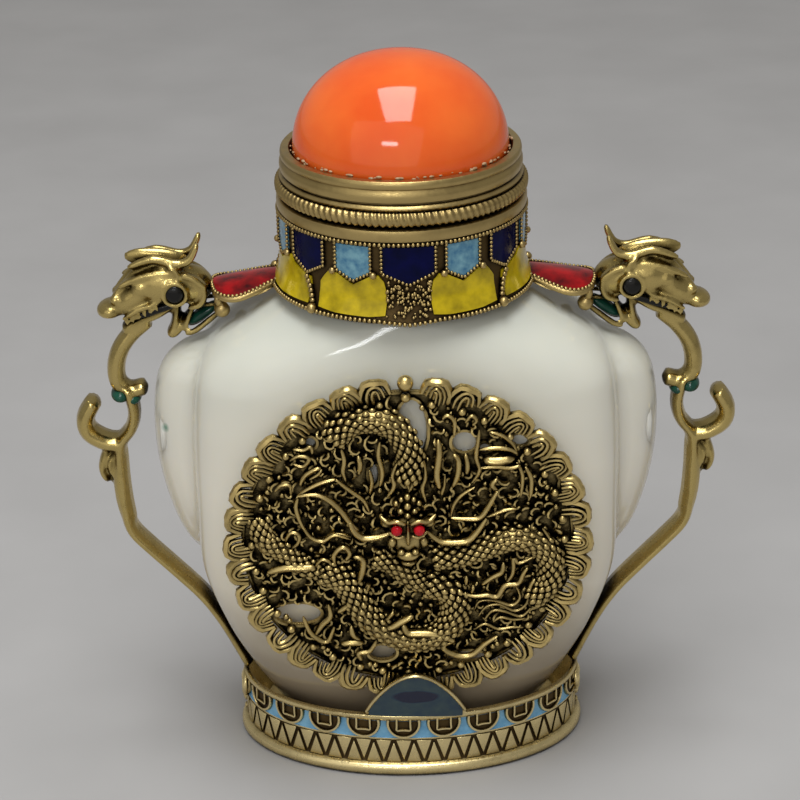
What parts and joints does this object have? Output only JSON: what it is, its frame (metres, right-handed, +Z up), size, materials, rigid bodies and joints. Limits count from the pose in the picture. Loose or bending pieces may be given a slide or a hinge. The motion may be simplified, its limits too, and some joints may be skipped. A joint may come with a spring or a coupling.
{
  "type": "snuff bottle",
  "caption": "Flattened white glass snuff bottle in an enamelled brass mount, with dragon handles, an openwork dragon medallion and a domed orange stopper.",
  "frame": {"origin": "centre of the base's flat underside", "axes": "+Z up; the medallion faces -Y; the handles stand along X"},
  "size_m": [0.0788, 0.0344, 0.0868],
  "materials": {
    "gilt_brass": "aged and polished on the high places",
    "white_glass": "polished, milky, faintly translucent",
    "coral_stone": "high polish",
    "ruby_stone": "high polish",
    "antique_brass": "cast, darkened in the recesses"
  },
  "bodies": {
    "root": {"base": "gilt_brass", "bottle": "white_glass", "handle_left": "gilt_brass", "handle_right": "gilt_brass", "collar": "gilt_brass", "stopper_cap": "gilt_brass", "stopper_stone": "coral_stone", "dragon_medallion": "antique_brass", "dragon_eye_left": "ruby_stone", "dragon_eye_right": "ruby_stone"}
  },
  "joints": []
}
